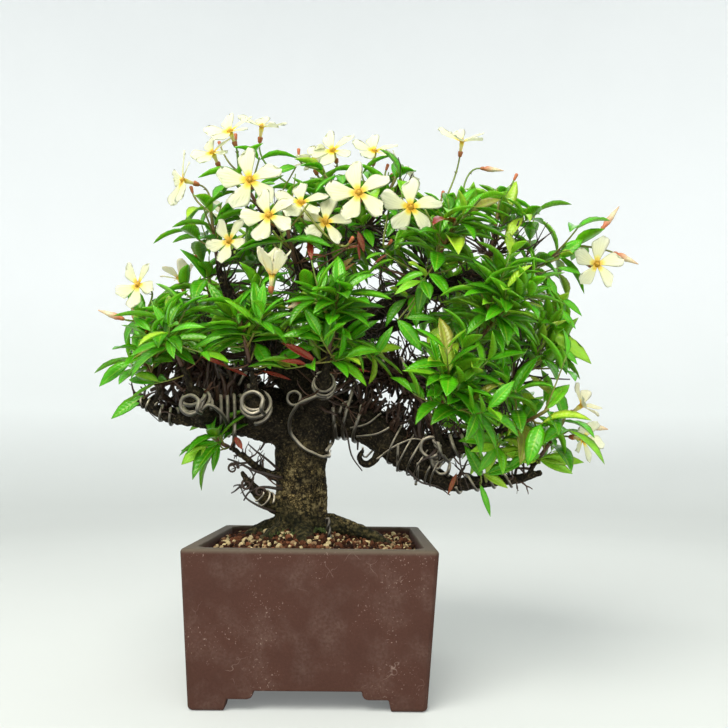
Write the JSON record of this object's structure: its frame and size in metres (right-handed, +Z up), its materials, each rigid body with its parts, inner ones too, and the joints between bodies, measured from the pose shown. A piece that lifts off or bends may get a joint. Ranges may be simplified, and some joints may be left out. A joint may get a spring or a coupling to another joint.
{
  "type": "asiatic jasmine bonsai",
  "caption": "Small asiatic jasmine trained as a tree, with cream pinwheel flowers, glossy leaves and wired branches, in a square unglazed pot with corner feet.",
  "frame": {"origin": "middle of the whole object's box, on the ground under the pot's feet", "axes": "+Z up, +X to the right as the picture's viewer sees it, +Y away from the viewer, square with the pot's sides"},
  "size_m": [0.2682, 0.167, 0.2855],
  "materials": {
    "stoneware": "matte, unglazed, with a greyish rim and faint lime marks",
    "soil": "matte fired clay grains, brown, beige and dark",
    "bark": "rough speckled bark, olive brown at the foot and near black above",
    "wire": "dull brown-grey",
    "dark_wire": "dull dark grey",
    "screen": "matte",
    "leaves": "glossy green with a paler underside",
    "petals": "soft cream with a yellow throat"
  },
  "bodies": {
    "root": {"anchor_wire": "dark_wire", "bloom_crest_left": "petals", "bloom_crest_top": "petals", "bloom_far_left_side": "petals", "bloom_front_cluster": "petals", "bloom_front_left": "petals", "bloom_front_middle": "petals", "bloom_front_right": "petals", "bloom_half_open": "petals", "bloom_left_hidden": "petals", "bloom_left_pale": "petals", "bloom_left_tip": "petals", "bloom_left_wilted": "petals", "bloom_low_right_lower": "petals", "bloom_low_right_upper": "petals", "bloom_right_far": "petals", "bloom_right_high": "petals", "bloom_top_middle": "petals", "bloom_top_right": "petals", "drain_screen": "screen", "pot": "stoneware", "soil": "soil", "spray_apex_back": "leaves", "spray_apex_left": "leaves", "spray_apex_left_out": "leaves", "spray_apex_right": "leaves", "spray_apex_top": "leaves", "spray_back": "leaves", "spray_crown_front": "leaves", "spray_front_up": "leaves", "spray_left_behind": "leaves", "spray_left_front": "leaves", "spray_left_low": "leaves", "spray_left_mid_back": "leaves", "spray_left_mid_top": "leaves", "spray_left_outer": "leaves", "spray_left_stub": "leaves", "spray_left_tip": "leaves", "spray_left_top": "leaves", "spray_low_right_back": "leaves", "spray_low_right_front": "leaves", "spray_low_right_inner": "leaves", "spray_low_right_tip": "leaves", "spray_mid_right_back": "leaves", "spray_mid_right_front": "leaves", "spray_mid_right_tip": "leaves", "spray_right_behind": "leaves", "spray_right_crown": "leaves", "spray_right_front": "leaves", "spray_right_out": "leaves", "spray_right_top": "leaves", "tree": "bark", "wire_crown_stub": "wire", "wire_inner_stub": "wire", "wire_left_main": "wire", "wire_left_stub": "wire", "wire_left_tip": "wire", "wire_right_main": "wire", "wire_right_tip": "wire", "wire_trunk": "wire"}
  },
  "joints": []
}
